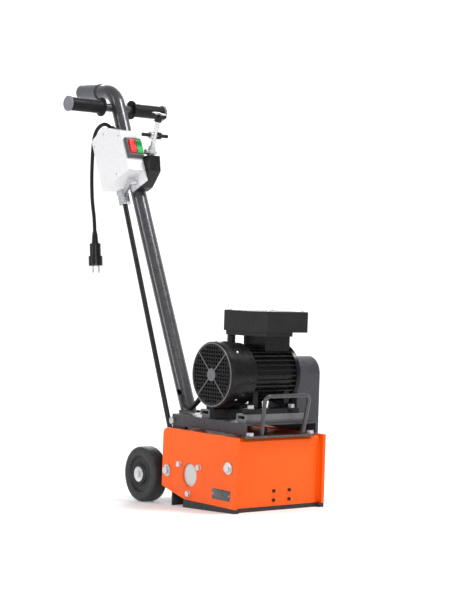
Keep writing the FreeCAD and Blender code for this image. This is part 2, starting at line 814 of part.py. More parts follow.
def wheel_carrier():
    """Two arms on the rear shaft, a cross tube, stub axles and the lug for the push rod."""
    hub_start = "-arm_inner - arm_thick"
    pieces = []
    for x in (hub_start, "arm_inner"):
        pieces.append(rod("x", 12, "arm_thick", (x, "pivot_y", "pivot_z")))
        arm = [
            ("pivot_y - 2", "pivot_z + 11"), ("pivot_y - 2", "pivot_z - 11"),
            ("wheel_y", "wheel_z - 14"), ("wheel_y", "wheel_z + 14")]
        pieces.append(profile("YZ_Plane", arm, "arm_thick", x))
        pieces.append(rod("x", 14, "arm_thick", (x, "wheel_y", "wheel_z")))
    pieces.append(rod("x", 16, "2 * arm_inner", ("-arm_inner", 200, 60)))
    for x in ("rod_x - 13", "rod_x + 7"):
        lug = [(190, 58), (212, 56), ("rod_pin_y + 9", "rod_pin_z"), ("rod_pin_y + 3", "rod_pin_z + 9"),
               ("rod_pin_y - 6", "rod_pin_z + 8"), (192, 82)]
        pieces.append(profile("YZ_Plane", lug, 6, x))
    reach = "wheel_outer - arm_inner"
    pieces.append(rod("x", "axle", reach, ("-wheel_outer", "wheel_y", "wheel_z")))
    pieces.append(rod("x", "axle", reach, ("arm_inner", "wheel_y", "wheel_z")))
    for x in ("-wheel_outer + wheel_wide + 1", "arm_inner + arm_thick"):
        pieces.append(rod("x", 12, 4, (x, "wheel_y", "wheel_z")))
    bores = [rod("x", "pivot_shaft + running_gap", 260, (-130, "pivot_y", "pivot_z"))]
    bores.append(rod("x", 5.05, 40, ("rod_x - 20", "rod_pin_y", "rod_pin_z")))
    part("wheel_carrier", [cut(fuse(pieces), bores)])


def wheels():
    """Two solid rubber wheels with a dished face, a conical boss and a bolt on each axle."""
    for label, sign in (("wheel_right", -1), ("wheel_left", 1)):
        def reach(depth):
            return "%d * (wheel_outer - (%s))" % (sign, depth)
        rubber = [
            (reach(-6), "axle + running_gap"), (reach(-6), 19), (reach(-2), 20), (reach(9), 27),
            (reach(10), 33), (reach(3), 44), (reach(1), 50), (reach(0), 56),
            (reach(0), "wheel_radius - 4.5"), (reach(1.3), "wheel_radius - 1.3"),
            (reach(4.5), "wheel_radius"), (reach(30.5), "wheel_radius"),
            (reach(33.7), "wheel_radius - 1.3"), (reach(35), "wheel_radius - 4.5"),
            (reach(35), "axle + running_gap")]
        part(label, [turned(rubber, (0, "wheel_y", "wheel_z"))])
    bolts = []
    for sign in (-1, 1):
        start = "-wheel_outer - 9" if sign < 0 else "wheel_outer + 6.4"
        head = "-wheel_outer - 14" if sign < 0 else "wheel_outer + 9"
        neck = "-wheel_outer - 7" if sign < 0 else "wheel_outer"
        bolts.append(fuse([
            rod("x", 18.5, 2.6, (start, "wheel_y", "wheel_z")),
            hexagon("x", 8.5, 5, (head, "wheel_y", "wheel_z")),
            rod("x", 7.9, 7, (neck, "wheel_y", "wheel_z"))]))
    part("wheel_bolts", bolts)


# ---- front roller and carry handle ----

def front_roller():
    """A small hidden roller behind the front sheet that guides the machine forward."""
    ears = [box((x, -120.8, 9.8), (4, 34, 40)) for x in (-20, 44)]
    back = box((-20, -120.8, 10), (68, 4, 40))
    axle = rod("x", 4, 68, (-20, -98, 15))
    screws = []
    for x in (-10, 38):
        for z in (23.5, 45.4):
            screws.append(rod("y", 4.2, 3, (x, "front_face - 3", z)))
    part("roller_bracket", [fuse(ears + [back, axle])] + screws)
    roller = cut(rod("x", 14, 58, (-15, -98, 15)), [rod("x", 4.05, 60, (-16, -98, 15))])
    part("front_roller", [roller])


def carry_handle():
    """The round-bar lifting handle, leaning forward over the front edge, on its flat bar."""
    feet = (-54, 72)
    foot_y = -129
    loop = bent_tube([
        Vector(feet[0], foot_y, 178), Vector(-60, -145, 271), Vector(77, -145, 271),
        Vector(feet[1], foot_y, 178)], 5, [14, 14])
    whole = loop.fuse(Part.makeBox(216, 17, 5, Vector(-110, -138, 173)))
    for x in feet:
        whole = whole.fuse(Part.makeCylinder(12, 6, Vector(x, foot_y, 173)))
    part("carry_handle", [shaped(whole)])


# ---- mast ----

def mast():
    """The bent tube, its foot bracket, the closed sleeve on its end and the cross bar."""
    corner = on_mast(0, cell("mast_corner"), 0)
    rise = math.radians(cell("sleeve_rise"))
    outward = Vector(0, math.cos(rise), math.sin(rise))
    end = corner + outward * (cell("sleeve_start") + cell("sleeve_long") - 12)
    points = [on_mast(0, cell("mast_foot"), 0), corner, end]
    radius = cell("mast_radius")
    tube = bent_tube(points, radius, [cell("mast_bend")], radius - cell("mast_wall"))
    bar_middle = on_mast(0, cell("bar_along"), cell("bar_ahead"))
    bar_hole = Part.makeCylinder(
        cell("bar_radius"), 60, bar_middle - Vector(30, 0, 0), Vector(1, 0, 0))
    cable_hole = Part.makeCylinder(6.5, 60, Vector(-40, 221, 234.8), Vector(24, 32, 18))
    part("mast", [shaped(tube.cut(bar_hole).cut(cable_hole))])

    start = corner + outward * cell("sleeve_start")
    sleeve = Part.makeCylinder(cell("sleeve_radius"), cell("sleeve_long"), start, outward)
    sleeve = sleeve.makeFillet(9, [sleeve.Edges[0] if sleeve.Edges[0].CenterOfMass.y > start.y + 50
                                   else sleeve.Edges[2]])
    bore = Part.makeCylinder(radius, cell("sleeve_long") - 12, start, outward)
    part("mast_sleeve", [shaped(sleeve.cut(bore))])

    bar = rod("x", "bar_radius", 300, (-150, bar_middle.y, bar_middle.z))
    part("cross_bar", [bar])
    grips = []
    caps = []
    for sign in (-1, 1):
        outline_points = [
            (sign * 47, "bar_radius"), (sign * 47, "grip_flange"), (sign * 50.5, "grip_flange"),
            (sign * 53, "grip_radius + 1"), (sign * 58, "grip_radius"),
            (sign * 150, "grip_radius"), (sign * 150, "bar_radius")]
        grips.append(turned(outline_points, (0, bar_middle.y, bar_middle.z)))
        cap = [
            (sign * 150, 0.0), (sign * 150, 20.5), (sign * 156, 20.5), (sign * 159, 17), (sign * 159, 0.0)]
        caps.append(turned(cap, (0, bar_middle.y, bar_middle.z)))
    part("hand_grips", grips)
    part("grip_caps", caps)


def mast_bracket():
    """Two cheeks from the rear sheet that hold the mast's foot, with a base web."""
    cheek = [
        (115.2, 95), (165, 96), (216, 140), (240, 206), (196, 206), (150, 150), (115.2, 150)]
    cheeks = [profile("YZ_Plane", cheek, 6, x) for x in (-26, 20)]
    web = box((-26, 115.2, 95), (52, 5, 55))
    foot = shaped(mast_prism([(-98, -19), (-98, 19), (-90.2, 19), (-90.2, -19)], -20, 20))
    part("mast_bracket", [fuse(cheeks + [web, foot])])


# ---- controls ----

# The route that the cord hangs along, level on the floor frame before the shift.
CORD_ROUTE = [
    (-40, 518, 972), (-41, 532, 982), (-42, 549.5, 986), (-43.5, 567, 982), (-45, 581.5, 971.5),
    (-46, 591.5, 954), (-46, 597, 929), (-46, 600, 896), (-46, 603, 850), (-45, 603.5, 802),
    (-45, 599, 766), (-45, 591, 734), (-45, 589, 698)]

def control_case():
    """The white switch case on the mast: flat sides, a sloping roof and a folded crown."""
    def ring(inset):
        low = cell("case_low") + inset
        front = cell("case_front") - inset
        rear = cell("case_rear") + inset
        return [
            (low, rear), (low, front), (cell("case_front_top") - 0.6 * inset, front),
            (cell("case_peak") - inset, cell("case_peak_ahead")),
            (cell("case_rear_top") - inset, rear)]
    wall = cell("case_wall")
    case = mast_prism(ring(0), cell("case_near"), cell("case_far"))
    room = mast_prism(ring(wall), cell("case_near") + wall, cell("case_far") - wall)
    window = mast_prism([(628, 70), (628, 90), (668, 90), (668, 70)], -69, -27.5)
    first, heading = cord_exit()
    inlet = Part.makeCylinder(9.05, 30, first - heading * 30, heading)
    inlet.Placement = TIP.inverse()
    part("control_case", [shaped(case.cut(room).cut(window).cut(inlet))])


def switch():
    """The two-button switch: a raised frame on the case and two sprung buttons."""
    base = mast_prism([(620, 79), (620, 87), (624, 92), (672, 92), (676, 87), (676, 79)], -70, -24.5)
    hole = mast_prism([(628, 60), (628, 100), (668, 100), (668, 60)], -66, -28)
    divider = mast_prism([(626, 79), (626, 92), (670, 92), (670, 79)], -48, -46)
    part("switch_frame", [shaped(base.cut(hole).fuse(divider))])
    for label, near, far in (("red_button", -65.6, -48.4), ("green_button", -45.6, -28.4)):
        head = mast_prism(
            [(628.4, 72), (628.4, 95), (633, 98), (663, 98), (667.6, 95), (667.6, 72)], near, far)
        part(label, [shaped(head)])


def control_plate():
    """The plated steel plate between the case and the mast, and the dark screw bracket."""
    lower = [(558, 6), (558, 77), (640, 77), (640, -50), (586, -50), (586, 6)]
    plate = mast_prism(lower, -24.7, -20.2)
    hub_hole = Part.makeCylinder(
        cell("rocker_shaft") + 0.05, 30, on_mast(-35, cell("rocker_along"), cell("rocker_ahead")),
        Vector(1, 0, 0))
    part("control_plate", [shaped(plate.cut(hub_hole))])
    side = [
        (554, 22), (554, 46), (562, 64), (578, 96), (617, 107), (636, 57), (650, 22)]
    solid = mast_prism(side, -20, 14)
    room = mast_prism(
        [(560, 26), (560, 45), (568, 62), (583, 92), (660, 125), (660, 26)], -16, 10.5)
    # The bracket is open above, between the block and the mast.
    part("screw_bracket", [shaped(solid.cut(room).cut(hub_hole_far()))])


def hub_hole_far():
    """The rocker shaft's hole through the screw bracket's two sides."""
    middle = on_mast(-30, cell("rocker_along"), cell("rocker_ahead"))
    return Part.makeCylinder(cell("rocker_shaft") + 0.05, 60, middle, Vector(1, 0, 0))


def rocker():
    """The rocker: a cross shaft with an arm to the push rod and one to the screw's nut."""
    middle = on_mast(0, cell("rocker_along"), cell("rocker_ahead"))
    shaft = Part.makeCylinder(cell("rocker_shaft"), 66, middle + Vector(-50, 0, 0), Vector(1, 0, 0))
    hub = Part.makeCylinder(9, 10, middle + Vector(-50, 0, 0), Vector(1, 0, 0))
    pin = on_mast(0, cell("clevis_along"), cell("clevis_ahead"))
    eye = Part.makeCylinder(9, 8, pin + Vector(-49, 0, 0), Vector(1, 0, 0))
    arm = mast_prism([(580, 35), (564, 35), (550, -8), (566, -8)], -49, -41)
    inner_hub = Part.makeCylinder(8.5, 12, middle + Vector(-3, 0, 0), Vector(1, 0, 0))
    pin_hole = Part.makeCylinder(5.5, 20, pin + Vector(-55, 0, 0), Vector(1, 0, 0))
    nut_arm = mast_prism([(566, 37), (578, 37), (602, 74), (592, 80)], -2, 8)
    part("rocker", [shaped(shaft.fuse([hub, eye, arm, inner_hub, nut_arm]).cut(pin_hole).removeSplitter())])


def push_rod():
    """The rod down to the wheel carrier, and the plated fork at its upper end."""
    top = on_mast(cell("rod_x"), cell("clevis_along"), cell("clevis_ahead"))
    low = Vector(cell("rod_x"), cell("rod_pin_y"), cell("rod_pin_z"))
    line = (top - low).normalize()
    length = top.distanceToPoint(low)
    bar = Part.makeCylinder(6.5, length - 45, low + line * 13, line)
    eye = Part.makeCylinder(8, 12, low + Vector(-5.5, 0, 0), Vector(1, 0, 0))
    eye = eye.fuse(Part.makeCylinder(5, 24, low + Vector(-12, 0, 0), Vector(1, 0, 0)))
    neck = Part.makeCylinder(5, 14, low, line)
    part("push_rod", [shaped(bar.fuse([eye, neck]))])
    turn = Rotation(Vector(1, 0, 0), Vector(0, line.z, -line.y), line, "XZY")
    block = Part.makeBox(24, 18, 42, Vector(-12, -9, -32))
    slot = Part.makeBox(9, 30, 30, Vector(-4.5, -15, -13))
    bolt = Part.makeCylinder(4, 34, Vector(-17, 0, 0), Vector(1, 0, 0))
    head = Part.makeCylinder(6.5, 4.5, Vector(-16.5, 0, 0), Vector(1, 0, 0))
    fork = block.cut(slot).fuse([bolt, head])
    fork.Placement = Placement(top, turn)
    part("rod_clevis", [shaped(fork.removeSplitter())])


def lift_screw():
    """The trunnion block, and the screw with its tommy bar and star knob."""
    foot = SCREW_FOOT
    block = Part.makeCylinder(10, 20, foot - SCREW_AXIS * 14, SCREW_AXIS)
    arms = Part.makeCylinder(7, 33, foot + Vector(-19, 0, 0) - SCREW_AXIS * 5, Vector(1, 0, 0))
    bore = Part.makeCylinder(cell("screw_radius") + 0.05, 80, foot - SCREW_AXIS * 40, SCREW_AXIS)
    part("pivot_block", [shaped(block.fuse(arms).cut(bore))])
    low, high = -34, cell("screw_top")
    stem = Part.makeCylinder(cell("screw_radius"), high - low, foot + SCREW_AXIS * low, SCREW_AXIS)
    collar = Part.makeCylinder(10, 4, foot + SCREW_AXIS * 7, SCREW_AXIS)
    place = foot + SCREW_AXIS * 41
    tommy = Part.makeCylinder(4.8, 80, place - Vector(40, 0, 0), Vector(1, 0, 0))
    for start in (-17, 8):
        tommy = tommy.fuse(Part.makeCylinder(9.5, 9, place + Vector(start, 0, 0), Vector(1, 0, 0)))
    part("lift_screw", [shaped(stem.fuse([collar, tommy]))])


def star_knob():
    """The moulded knob on the screw: a domed star of seven lobes on a neck."""
    body = doc.addObject("PartDesign::Body", "knob")
    cell_neck = outline(body, "XZ_Plane", [(0, 0), (10, 0), (9, 14), (14, 16), (14, 22), (0, 24)], 0)
    crown = body.newObject("PartDesign::Revolution", "crown")
    crown.Profile = cell_neck
    crown.ReferenceAxis = (cell_neck, ["V_Axis"])
    crown.Angle = 360
    doc.recompute()
    lobe = body.newObject("Sketcher::SketchObject", "lobe")
    for feature in body.Origin.OriginFeatures:
        if feature.Role == "XY_Plane":
            lobe.AttachmentSupport = [(feature, "")]
    lobe.MapMode = "FlatFace"
    lobe.AttachmentOffset = Placement(Vector(0, 0, 13), Rotation())
    lobe.addGeometry(Part.Circle(Vector(14, 0, 0), Vector(0, 0, 1), 6.2), False)
    pad = body.newObject("PartDesign::Pad", "lobe_pad")
    pad.Profile = lobe
    pad.Length = 9
    pattern = body.newObject("PartDesign::PolarPattern", "lobes")
    pattern.Originals = [pad]
    pattern.Axis = (lobe, ["N_Axis"])
    pattern.Angle = 360
    pattern.Occurrences = 7
    body.Tip = pattern
    moved = doc.addObject("Part::Compound", "knob_place")
    moved.Links = [body]
    turn = Rotation(Vector(0, 0, 1), SCREW_AXIS)
    moved.Placement = Placement(SCREW_FOOT + SCREW_AXIS * cell("screw_top"), turn)
    part("star_knob", [moved])


# ---- supply cord ----

def supply_cord():
    """The short cord that hangs behind the case, its sleeve, and the plug on its end."""
    points = [Vector(*place) for place in CORD_ROUTE]
    bends = loose_bends(points)
    print("cord bend radii:", ["%.0f" % bend for bend in bends])
    tube = bent_tube(points, cell("cord_radius"), bends)
    print("cord volume over section:", tube.Volume / (math.pi * cell("cord_radius") ** 2))
    part("supply_cord", [shaped(tube)], "floor")
    end = points[-1]
    down = (end - points[-2]).normalize()
    relief = Part.makeCone(6, 9, 34, end, down)
    body = Part.makeCylinder(15, 34, end + down * 34, down)
    face = Part.makeCylinder(19, 26, end + down * 68, down)
    part("plug", [shaped(relief.fuse([body, face]))], "floor")
    pins = [shaped(Part.makeCylinder(2.4, 19, end + down * 94 + Vector(x, 0, 0), down)) for x in (-9.5, 9.5)]
    part("plug_pins", pins, "floor")


def cord_exit():
    """Where the cord leaves its strain relief, and its heading there, level on the floor."""
    first, second = (Vector(*place) for place in CORD_ROUTE[:2])
    return first, (second - first).normalize()


def cord_sleeve():
    """The strain relief where the cord leaves the case's roof."""
    first, heading = cord_exit()
    nut = Part.makeCylinder(9, 16, first - heading * 20, heading)
    cone = Part.makeCone(8, 5.5, 4, first - heading * 4, heading)
    part("cord_sleeve", [shaped(nut.fuse(cone))], "floor")


def build():
    """Makes every sub-part."""
    side_plate("side_plate_right", "-half_width")
    side_plate("side_plate_left", "half_width - plate")
    frame_sheets()
    dust_skirt()
    cross_shafts()
    frame_bolts()
    bearing_housings()
    hex_bolts()
    motor_plate()
    motor_casing()
    motor_ends()
    fan_cowl()
    motor_rotor()
    terminal_box()
    motor_cable()
    belt_guard()
    drive_belt()
    drum()
    wheel_carrier()
    wheels()
    front_roller()
    carry_handle()
    mast()
    mast_bracket()
    control_case()
    switch()
    control_plate()
    rocker()
    push_rod()
    lift_screw()
    star_knob()
    supply_cord()
    cord_sleeve()


def check():
    """Stops if any object failed or any sub-part is not a sound shape."""
    bad = [thing.Name for thing in doc.Objects if {"Invalid", "Error"} & set(thing.State)]
    bad += [whole.Label for whole in PARTS if whole.Shape.isNull() or not whole.Shape.isValid()]
    if bad:
        raise RuntimeError("not sound: " + ", ".join(bad))


def export():
    """Writes each sub-part to its own file."""
    os.makedirs("parts", exist_ok=True)
    for whole in PARTS:
        whole.Shape.exportStep("parts/%s.step" % whole.Label)
        print(whole.Label, len(whole.Shape.Solids), "solids", round(whole.Shape.Volume / 1000, 1), "cm3")
    print(len(PARTS), "sub-parts")


build()
doc.recompute()
check()
export()
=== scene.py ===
import bpy
import bmesh
import json
import math
from mathutils import Matrix, Vector


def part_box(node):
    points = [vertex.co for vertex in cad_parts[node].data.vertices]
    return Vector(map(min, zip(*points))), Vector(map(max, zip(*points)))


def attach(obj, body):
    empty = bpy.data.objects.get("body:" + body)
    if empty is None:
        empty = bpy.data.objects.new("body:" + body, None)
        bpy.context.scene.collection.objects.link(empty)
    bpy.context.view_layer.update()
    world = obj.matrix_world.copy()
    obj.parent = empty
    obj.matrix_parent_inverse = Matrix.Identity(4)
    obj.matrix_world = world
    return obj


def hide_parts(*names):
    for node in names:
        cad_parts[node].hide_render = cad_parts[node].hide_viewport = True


# A walk-behind floor scarifier on a plain pale floor, seen from its front right.
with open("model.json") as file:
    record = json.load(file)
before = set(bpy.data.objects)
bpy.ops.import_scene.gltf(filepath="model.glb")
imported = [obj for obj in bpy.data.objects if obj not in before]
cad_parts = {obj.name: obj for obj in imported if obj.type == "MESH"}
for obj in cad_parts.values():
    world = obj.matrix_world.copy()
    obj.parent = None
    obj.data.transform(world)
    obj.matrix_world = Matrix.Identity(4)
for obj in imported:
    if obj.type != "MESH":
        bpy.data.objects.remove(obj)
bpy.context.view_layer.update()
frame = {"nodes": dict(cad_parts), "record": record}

# The model's stance: drawn level in millimetres, then tipped about its front edge and
# moved so that the row's origin lies under the middle of it.
PITCH = math.radians(2.95)
FRONT_EDGE = -140
ORIGIN = Vector((9.5, 282.2, 0))
TIP = Matrix.Rotation(PITCH, 4, "X")
LEAN = math.radians(24.5)
MAST_FOOT = Vector((0, 254.6, 253.8))
ALONG = Vector((0, math.sin(LEAN), math.cos(LEAN)))
AHEAD = Vector((0, -math.cos(LEAN), math.sin(LEAN)))


def on_floor(point):
    """A point above the floor, in millimetres, as metres in the row frame."""
    return (Vector(point) - ORIGIN) / 1000


def level(point):
    """A point of the level machine, in millimetres, as metres in the row frame."""
    hinge = Vector((0, FRONT_EDGE, 0))
    return on_floor(TIP @ (Vector(point) - hinge) + hinge)


def on_mast(across, along, ahead):
    """A point beside the mast's line, as metres in the row frame."""
    return level(MAST_FOOT + Vector((across, 0, 0)) + ALONG * along + AHEAD * ahead)


MACHINE = Matrix.Translation(level((0, 0, 0))) @ TIP @ Matrix.Scale(0.001, 4)


# ---- materials ----

# Rounded and worn edges: radii in metres, and how far the two normals have to differ.
EDGE_RADIUS = 0.0012
FINE_EDGE_RADIUS = 0.0008
BEVEL_SAMPLES = 4
WEAR_AMOUNT = 0.5
WEAR_START = 0.75
WEAR_END = 0.98
# Where a mix node keeps its two colours and their mixture.
MIX_COLORS = (6, 7)
MIX_RESULT = 2
# Paint: the grey of dust, how dark its deep patches are, and repeats per metre.
DUST_GREY = 0.55
DEEP_SHADE = 0.86
CLOUD_SCALE = 9
SMEAR_SCALE = 60
PEEL_SCALE = 900


class Finish:
    """A node material with a principled shader and short calls that feed it."""

    def __init__(self, name, color, rough, metallic=0.0, coat=0.0, specular=0.5):
        self.material = bpy.data.materials.new(name)
        self.material.use_nodes = True
        self.material.diffuse_color = (*color, 1)
        self.nodes = self.material.node_tree.nodes
        self.links = self.material.node_tree.links
        self.shader = self.nodes["Principled BSDF"]
        self.shader.inputs["Base Color"].default_value = (*color, 1)
        self.shader.inputs["Roughness"].default_value = rough
        self.shader.inputs["Metallic"].default_value = metallic
        self.shader.inputs["Specular IOR Level"].default_value = specular
        self.shader.inputs["Coat Weight"].default_value = coat
        self.shader.inputs["Coat Roughness"].default_value = 0.12
        self.color = color
        self.place = self.nodes.new("ShaderNodeTexCoord").outputs["Object"]
        self.normal = None

    def stretched(self, scale):
        """Object coordinates drawn out along an axis."""
        node = self.nodes.new("ShaderNodeMapping")
        node.inputs["Scale"].default_value = scale
        self.links.new(self.place, node.inputs["Vector"])
        return node.outputs["Vector"]

    def noise(self, scale, detail=4, stretch=(1, 1, 1)):
        """A noise pattern, scale in repeats per metre."""
        node = self.nodes.new("ShaderNodeTexNoise")
        node.inputs["Scale"].default_value = scale
        node.inputs["Detail"].default_value = detail
        self.links.new(self.stretched(stretch), node.inputs["Vector"])
        return node.outputs["Fac"]

    def spread(self, value, low, high, start=0.35, end=0.65):
        """A pattern stretched to run from low to high."""
        node = self.nodes.new("ShaderNodeMapRange")
        node.inputs["From Min"].default_value = start
        node.inputs["From Max"].default_value = end
        node.inputs["To Min"].default_value = low
        node.inputs["To Max"].default_value = high
        self.links.new(value, node.inputs["Value"])
        return node.outputs["Result"]

    def mixed(self, factor, first, second):
        """A colour between two, chosen by a pattern."""
        node = self.nodes.new("ShaderNodeMix")
        node.data_type = "RGBA"
        self.links.new(factor, node.inputs["Factor"])
        for index, value in zip(MIX_COLORS, (first, second)):
            socket = node.inputs[index]
            if isinstance(value, tuple):
                socket.default_value = (*value, 1)
            else:
                self.links.new(value, socket)
        return node.outputs[MIX_RESULT]

    def tint(self, color):
        """Feeds the base colour."""
        self.links.new(color, self.shader.inputs["Base Color"])

    def rough(self, value):
        """Feeds the roughness."""
        self.links.new(value, self.shader.inputs["Roughness"])

    def bump(self, height, depth):
        """Adds a bump of a depth in metres to the normal."""
        node = self.nodes.new("ShaderNodeBump")
        node.inputs["Distance"].default_value = depth
        self.links.new(height, node.inputs["Height"])
        if self.normal is not None:
            self.links.new(self.normal, node.inputs["Normal"])
        self.normal = node.outputs["Normal"]
        self.links.new(self.normal, self.shader.inputs["Normal"])

    def rounded(self, radius):
        """The normal of the shape with its edges rounded off."""
        node = self.nodes.new("ShaderNodeBevel")
        node.samples = BEVEL_SAMPLES
        node.inputs["Radius"].default_value = radius
        return node.outputs["Normal"]

    def soft_edges(self, radius):
        """Rounds the shaded edges of a sharp solid."""
        self.normal = self.rounded(radius)
        self.links.new(self.normal, self.shader.inputs["Normal"])

    def edge_wear(self, color):
        """Lightens the edges, found where the rounded normal leaves the flat one."""
        shape = self.nodes.new("ShaderNodeNewGeometry")
        dot = self.nodes.new("ShaderNodeVectorMath")
        dot.operation = "DOT_PRODUCT"
        self.links.new(self.rounded(EDGE_RADIUS), dot.inputs[0])
        self.links.new(shape.outputs["Normal"], dot.inputs[1])
        edge = self.spread(dot.outputs["Value"], WEAR_AMOUNT, 0.0, WEAR_START, WEAR_END)
        base = self.shader.inputs["Base Color"]
        before = base.links[0].from_socket if base.links else self.color
        self.tint(self.mixed(edge, before, color))


def paint(
        name, color, rough=0.35, coat=0.5, peel=0.00006, dust=0.12, edge=None, metallic=0.0,
        specular=0.5, soften=True):
    """Sprayed or powder paint: fine peel, faint cloudy dust and brighter edges."""
    finish = Finish(name, color, rough, metallic, coat, specular)
    if soften:
        finish.soft_edges(EDGE_RADIUS)
    dusty = tuple(channel * (1 - dust) + DUST_GREY * dust for channel in color)
    deep = tuple(channel * DEEP_SHADE for channel in color)
    clouds = finish.spread(finish.noise(CLOUD_SCALE, 6), 0, 1, 0.3, 0.75)
    finish.tint(finish.mixed(clouds, deep, dusty))
    finish.rough(finish.spread(finish.noise(SMEAR_SCALE, 5), rough * 0.8, min(1, rough * 1.3)))
    finish.bump(finish.noise(PEEL_SCALE, 2), peel)
    if edge is not None:
        finish.edge_wear(edge)
    return finish.material


def metal(name, color, rough=0.25, stretch=(1, 1, 1), grain=700, stain=0.75):
    """Bare or plated metal: directional grain and slight stains."""
    finish = Finish(name, color, rough, 1.0)
    finish.soft_edges(FINE_EDGE_RADIUS)
    dark = tuple(channel * stain for channel in color)
    finish.tint(finish.mixed(finish.spread(finish.noise(40, 6), 0, 1), dark, color))
    finish.rough(finish.spread(finish.noise(grain, 3, stretch), rough * 0.7, rough * 1.5))
    finish.bump(finish.noise(grain, 3, stretch), 0.00003)
    return finish.material


def plastic(name, color, rough=0.4, grain=0.00008, coat=0.0, size=1400, specular=0.5, cloud=1.25):
    """Moulded plastic or rubber with a fine leathery grain."""
    finish = Finish(name, color, rough, 0.0, coat, specular)
    finish.soft_edges(FINE_EDGE_RADIUS)
    lighter = tuple(min(1, channel * cloud + 0.003) for channel in color)
    finish.tint(finish.mixed(finish.spread(finish.noise(25, 5), 0, 1), color, lighter))
    finish.rough(finish.spread(finish.noise(120, 4), rough * 0.85, min(1, rough * 1.2)))
    finish.bump(finish.noise(size, 3), grain)
    return finish.material


def bristle_and_shade(name):
    """A dense black brush: fine upright lines. Its near-black is also painted shade, standing for the dark
    shadow band under the side plates.
    """
    finish = Finish(name, (0.012, 0.012, 0.013), 0.7)
    strands = finish.noise(1, 2, (1500, 1500, 25))
    finish.tint(finish.mixed(finish.spread(strands, 0, 1), (0.008, 0.008, 0.008), (0.04, 0.04, 0.042)))
    finish.bump(strands, 0.0006)
    return finish.material


def cast(name, color):
    """Machined grey iron with a coarse skin."""
    finish = Finish(name, color, 0.5, 0.9)
    finish.soft_edges(0.001)
    finish.tint(finish.mixed(finish.spread(finish.noise(200, 6), 0, 1), color, (0.2, 0.2, 0.21)))
    finish.bump(finish.noise(600, 6), 0.0002)
    return finish.material


MATERIALS = {
    "orange_paint": paint(
        "orange_paint", (0.96, 0.115, 0.002), 0.42, 0.06, dust=0.0, edge=(1.0, 0.22, 0.03), specular=0.25),
    "slate_paint": paint(
        "slate_paint", (0.045, 0.045, 0.053), 0.34, 0.15, dust=0.01, edge=(0.26, 0.26, 0.29), specular=0.35),
    "motor_paint": paint(
        "motor_paint", (0.005, 0.005, 0.006), 0.3, 0.08, dust=0.002, edge=(0.06, 0.06, 0.065), specular=0.22),
    "black_paint": paint(
        "black_paint", (0.007, 0.007, 0.008), 0.34, 0.1, dust=0.005, edge=(0.08, 0.08, 0.09), specular=0.25),
    "handle_paint": paint("handle_paint", (0.045, 0.045, 0.05), 0.28, 0.3, dust=0.01, soften=False),
    "rail_paint": paint("rail_paint", (0.12, 0.122, 0.13), 0.34, 0.3, dust=0.03, edge=(0.45, 0.45, 0.47)),
    "dark_metallic": paint(
        "dark_metallic", (0.075, 0.075, 0.082), 0.3, 0.25, peel=0.00001, dust=0.0, metallic=0.45,
        soften=False),
    "light_paint": paint("light_paint", (0.62, 0.63, 0.65), 0.34, 0.3, dust=0.05),
    "zinc": metal("zinc", (0.74, 0.75, 0.77), 0.3),
    "bare_steel": metal("bare_steel", (0.6, 0.6, 0.61), 0.3, (1, 20, 20)),
    "hard_steel": metal("hard_steel", (0.28, 0.28, 0.3), 0.42, stain=0.5),
    "cast_iron": cast("cast_iron", (0.1, 0.1, 0.105)),
    "laminations": metal("laminations", (0.32, 0.3, 0.27), 0.45, (900, 1, 1)),
    "rubber": plastic("rubber", (0.005, 0.005, 0.006), 0.5, 0.00012, specular=0.22),
    "tread": plastic("tread", (0.014, 0.014, 0.016), 0.5, 0.0002, size=700, specular=0.4),
    "roller_plastic": plastic("roller_plastic", (0.06, 0.06, 0.06), 0.5),
    "slate_plastic": plastic("slate_plastic", (0.075, 0.077, 0.095), 0.35),
    "cap_plastic": plastic("cap_plastic", (0.16, 0.16, 0.19), 0.45),
    "white_plastic": plastic("white_plastic", (0.78, 0.78, 0.8), 0.24, 0.00002, 0.3, cloud=1.02),
    "black_plastic": plastic("black_plastic", (0.005, 0.005, 0.006), 0.32, specular=0.3),
    "box_plastic": plastic("box_plastic", (0.008, 0.008, 0.009), 0.38, specular=0.28),
    "frame_plastic": plastic("frame_plastic", (0.06, 0.062, 0.07), 0.4),
    "label": plastic("label", (0.045, 0.045, 0.05), 0.3, 0.00001, 0.3),
    "red_plastic": plastic("red_plastic", (0.75, 0.012, 0.014), 0.2, 0.00002, 0.5),
    "green_plastic": plastic("green_plastic", (0.005, 0.38, 0.09), 0.2, 0.00002, 0.5),
    "bristle_and_shade": bristle_and_shade("bristle_and_shade"),
}


def face_middle(mesh, face):
    """The middle of a face of a frame mesh, in metres."""
    return sum((mesh.vertices[index].co for index in face.vertices), Vector()) / len(face.vertices)


def repaint(name, material, test):
    """Gives the faces of a CAD node that pass a test another material."""
    mesh = frame["nodes"][name].data
    mesh.materials.append(MATERIALS[material])
    last = len(mesh.materials) - 1
    for face in mesh.polygons:
        if test(face_middle(mesh, face)):
            face.material_index = last


SCREW_LEAN = math.radians(18.3) + PITCH
SCREW_LINE = Vector((0, -math.sin(SCREW_LEAN), math.cos(SCREW_LEAN)))
LUG_BASE = 171
BAR_START = level((0, 432, 874)) + SCREW_LINE * 0.03
BAR_RISE = 0.022
COLLAR_RIGHT = -0.0175
COLLAR_LEFT = 0.0075


def lug_in_painted_shade(spot):
    """Whether a place on the deck plate belongs to the two hinge lugs that stand on it, which are painted
    black as painted shade for the shadowed gap under the motor plate's flange.
    """
    return (MACHINE.inverted() @ spot).z > LUG_BASE


def on_tommy_bar(spot):
    """Whether a place on the lift screw belongs to its cross bar, past the plated collar."""
    rise = (spot - BAR_START).dot(SCREW_LINE)
    beside = spot.x + ORIGIN.x / 1000
    return 0 < rise < BAR_RISE and (beside < COLLAR_RIGHT or beside > COLLAR_LEFT)


